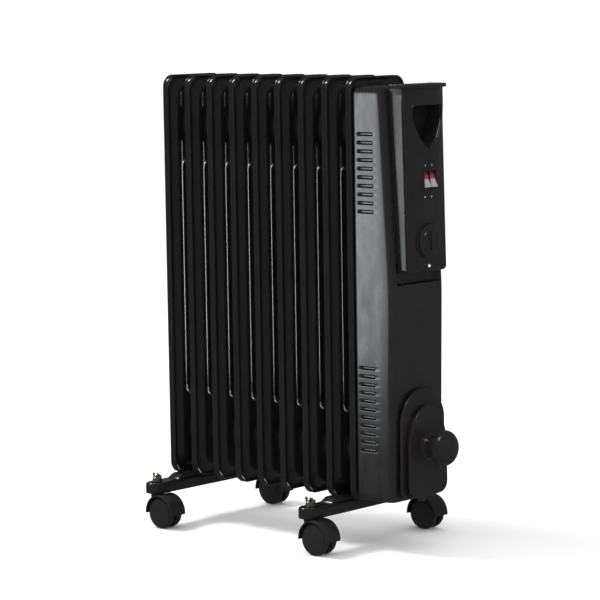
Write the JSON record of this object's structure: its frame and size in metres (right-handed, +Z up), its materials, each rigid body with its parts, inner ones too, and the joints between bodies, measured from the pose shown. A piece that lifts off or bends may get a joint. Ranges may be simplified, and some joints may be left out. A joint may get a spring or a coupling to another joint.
{
  "type": "oil filled radiator heater",
  "caption": "Portable oil filled radiator with pressed fins, louvred end cover, control panel, carry handle and swivel casters.",
  "frame": {"origin": "middle of the footprint, on the floor under the casters", "axes": "+Z up; +X along the stack of fins towards the control panel; Y across the heater's width"},
  "size_m": [0.4517, 0.242, 0.591],
  "materials": {
    "black_enamel": "gloss black stoved enamel",
    "satin_black_steel": "satin black enamel on sheet steel",
    "black_plastic": "semi-gloss black moulded plastic",
    "matt_black_plastic": "fine-grained black plastic",
    "zinc": "zinc plated",
    "plain_steel": "plain aluminised steel",
    "heater_sheath": "copper sheath and brass flange",
    "red_rocker": "translucent red plastic with a pale lower half",
    "white_lens": "white lamp lens",
    "rubber": "matt black rubber",
    "ceramic": "off-white ceramic or thermoset"
  },
  "bodies": {
    "heater": {"fin_1": "black_enamel", "fin_2": "black_enamel", "fin_3": "black_enamel", "fin_4": "black_enamel", "fin_5": "black_enamel", "fin_6": "black_enamel", "fin_7": "black_enamel", "fin_8": "black_enamel", "fin_9": "black_enamel", "heating_element": "heater_sheath", "element_gasket": "rubber", "oil_filler_plug": "zinc", "thermal_cutout": "ceramic", "end_cover": "satin_black_steel", "heat_shield": "plain_steel", "control_housing": "black_plastic", "handle_cap": "black_plastic", "handle_pocket": "black_plastic", "switch_frame": "matt_black_plastic", "thermostat": "ceramic", "indicator_lamp": "white_lens", "terminal_block": "ceramic", "cord_gland": "rubber", "cord_winder_base": "black_plastic", "cord_winder_spool": "black_plastic", "foot_front": "black_enamel", "foot_rear": "black_enamel", "u_bolt_front": "zinc", "u_bolt_rear": "zinc", "u_bolt_front_nut_left": "zinc", "u_bolt_front_nut_right": "zinc", "u_bolt_rear_nut_left": "zinc", "u_bolt_rear_nut_right": "zinc", "caster_stem_front_left": "zinc", "caster_stem_front_right": "zinc", "caster_stem_rear_left": "zinc", "caster_stem_rear_right": "zinc", "wing_nut_front_left": "zinc", "wing_nut_front_right": "zinc", "wing_nut_rear_left": "zinc", "wing_nut_rear_right": "zinc"},
    "caster_front_left": {"caster_hood_front_left": "matt_black_plastic"},
    "wheels_front_left": {"caster_axle_front_left": "plain_steel", "caster_wheel_front_left_outer": "matt_black_plastic", "caster_wheel_front_left_inner": "matt_black_plastic"},
    "caster_front_right": {"caster_hood_front_right": "matt_black_plastic"},
    "wheels_front_right": {"caster_axle_front_right": "plain_steel", "caster_wheel_front_right_outer": "matt_black_plastic", "caster_wheel_front_right_inner": "matt_black_plastic"},
    "caster_rear_left": {"caster_hood_rear_left": "matt_black_plastic"},
    "wheels_rear_left": {"caster_axle_rear_left": "plain_steel", "caster_wheel_rear_left_outer": "matt_black_plastic", "caster_wheel_rear_left_inner": "matt_black_plastic"},
    "caster_rear_right": {"caster_hood_rear_right": "matt_black_plastic"},
    "wheels_rear_right": {"caster_axle_rear_right": "plain_steel", "caster_wheel_rear_right_outer": "matt_black_plastic", "caster_wheel_rear_right_inner": "matt_black_plastic"},
    "rocker_1": {"rocker_1": "red_rocker"},
    "rocker_2": {"rocker_2": "red_rocker"},
    "thermostat_knob": {"thermostat_knob": "black_plastic"}
  },
  "joints": [
    {"name": "swivel_front_left", "type": "hinge", "parent": "heater", "child": "caster_front_left", "pos_m": [0.0812, -0.105, 0.045], "axis": [0, 0, 1], "continuous": true},
    {"name": "roll_front_left", "type": "hinge", "parent": "caster_front_left", "child": "wheels_front_left", "pos_m": [0.0952, -0.105, 0.0205], "axis": [0, 1, 0], "continuous": true},
    {"name": "swivel_front_right", "type": "hinge", "parent": "heater", "child": "caster_front_right", "pos_m": [0.0812, 0.105, 0.045], "axis": [0, 0, 1], "continuous": true},
    {"name": "roll_front_right", "type": "hinge", "parent": "caster_front_right", "child": "wheels_front_right", "pos_m": [0.0952, 0.105, 0.0205], "axis": [0, 1, 0], "continuous": true},
    {"name": "swivel_rear_left", "type": "hinge", "parent": "heater", "child": "caster_rear_left", "pos_m": [-0.1908, -0.105, 0.045], "axis": [0, 0, 1], "continuous": true},
    {"name": "roll_rear_left", "type": "hinge", "parent": "caster_rear_left", "child": "wheels_rear_left", "pos_m": [-0.1768, -0.105, 0.0205], "axis": [0, 1, 0], "continuous": true},
    {"name": "swivel_rear_right", "type": "hinge", "parent": "heater", "child": "caster_rear_right", "pos_m": [-0.1908, 0.105, 0.045], "axis": [0, 0, 1], "continuous": true},
    {"name": "roll_rear_right", "type": "hinge", "parent": "caster_rear_right", "child": "wheels_rear_right", "pos_m": [-0.1768, 0.105, 0.0205], "axis": [0, 1, 0], "continuous": true},
    {"name": "rocker_1_tilt", "type": "hinge", "parent": "heater", "child": "rocker_1", "pos_m": [0.18923, -0.0061, 0.465], "axis": [0, 1, 0], "range_deg": [-16, 0]},
    {"name": "rocker_2_tilt", "type": "hinge", "parent": "heater", "child": "rocker_2", "pos_m": [0.18923, 0.0061, 0.465], "axis": [0, 1, 0], "range_deg": [-16, 0]},
    {"name": "thermostat_turn", "type": "hinge", "parent": "heater", "child": "thermostat_knob", "pos_m": [0.19103, 0, 0.389], "axis": [1, 0, 0], "range_deg": [-270, 0]}
  ]
}
